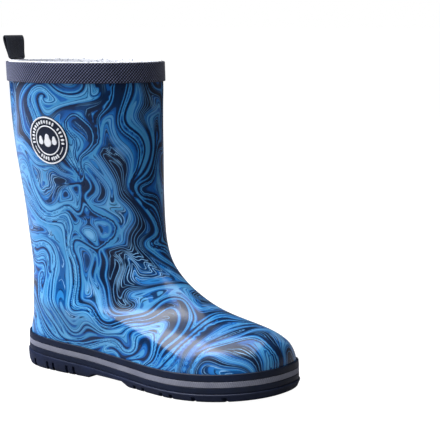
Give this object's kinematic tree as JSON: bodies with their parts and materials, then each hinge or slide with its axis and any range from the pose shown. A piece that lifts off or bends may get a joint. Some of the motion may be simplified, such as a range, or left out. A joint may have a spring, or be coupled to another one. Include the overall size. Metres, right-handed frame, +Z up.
{
  "type": "rubber rain boot",
  "caption": "Child's tall pull-on rubber rain boot with a round toe, textile lining, banded rim, pull loop at the back, foxing with a reflective stripe and a treaded sole.",
  "frame": {"origin": "bottom centre of the boot's bounding box, on the floor under the middle of its length", "axes": "+X towards the toe, +Y towards the inner side of the foot, +Z up"},
  "size_m": [0.2142, 0.0934, 0.218],
  "materials": {
    "upper_print": "glossy rubber with a swirled blue and navy print",
    "band_rubber": "dark navy rubber, finely cross-hatched, low sheen",
    "foxing_rubber": "dark navy rubber, satin",
    "outsole_rubber": "dark navy rubber, matte",
    "inner_rubber": "black rubber, matte",
    "reflective": "grey reflective tape, finely hatched",
    "badge_base": "navy rubber, satin",
    "badge_print": "white raised print",
    "lining_textile": "pale speckled knit",
    "webbing": "black woven tape",
    "board": "pressed fibre board",
    "foam": "closed cell foam",
    "insole_cloth": "grey brushed textile"
  },
  "bodies": {
    "boot": {"upper_shell": "upper_print", "lining": "lining_textile", "toe_reinforcement": "inner_rubber", "heel_counter": "inner_rubber", "top_binding": "band_rubber", "loop_tails": "webbing", "loop_stitch_upper": "webbing", "loop_stitch_lower": "webbing", "badge_patch": "badge_base", "badge_outer_ring": "badge_print", "badge_inner_ring": "badge_print", "badge_raindrop": "badge_print", "foxing_strip": "foxing_rubber", "reflective_stripe": "reflective", "outsole": "outsole_rubber", "heel_core": "foam", "sole_filler": "board", "insole_board": "board"},
    "loop": {"pull_loop": "webbing"},
    "insole": {"insole_foam": "foam", "insole_cover": "insole_cloth"}
  },
  "joints": [
    {"name": "loop_flex", "type": "hinge", "parent": "boot", "child": "loop", "pos_m": [-0.09976, -0.00973, 0.20295], "axis": [-0.1392, 0.9903, 0], "range_deg": [-45, 60], "stiffness_Nm_per_rad": 0.004},
    {"name": "insole_lift", "type": "hinge", "parent": "boot", "child": "insole", "pos_m": [0.097, 0, 0.016], "axis": [0, 1, 0], "range_deg": [0, 6]}
  ]
}
